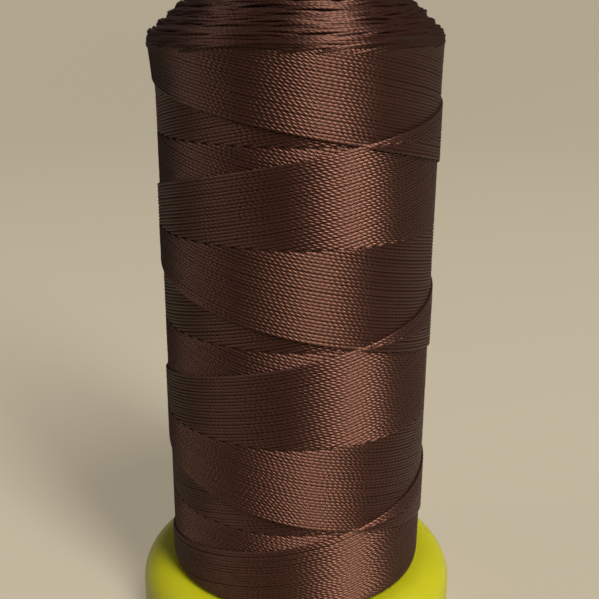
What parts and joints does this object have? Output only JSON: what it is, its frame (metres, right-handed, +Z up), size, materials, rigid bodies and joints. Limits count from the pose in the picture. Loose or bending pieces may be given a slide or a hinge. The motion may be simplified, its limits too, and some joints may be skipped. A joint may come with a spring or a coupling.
{
  "type": "waxed thread spool",
  "caption": "Cross-wound cylindrical spool of twisted waxed thread with a tapered top, on an open tube with a raised round base.",
  "frame": {"origin": "centre of the base's resting rim, on the plane that the spool stands on", "axes": "+Z up along the tube; -Y faces the side that the newest threads cross on"},
  "size_m": [0.08, 0.08, 0.168],
  "materials": {
    "base_plastic": "smooth moulded, satin gloss",
    "tube_plastic": "smooth moulded, satin gloss",
    "inner_thread": "twisted filament thread, waxed",
    "outer_thread": "twisted filament thread, waxed, soft sheen"
  },
  "bodies": {
    "root": {"base_flange": "base_plastic", "core_tube": "tube_plastic", "inner_winding": "inner_thread", "falling_layer": "outer_thread", "rising_layer": "outer_thread", "top_turns": "outer_thread"}
  },
  "joints": []
}
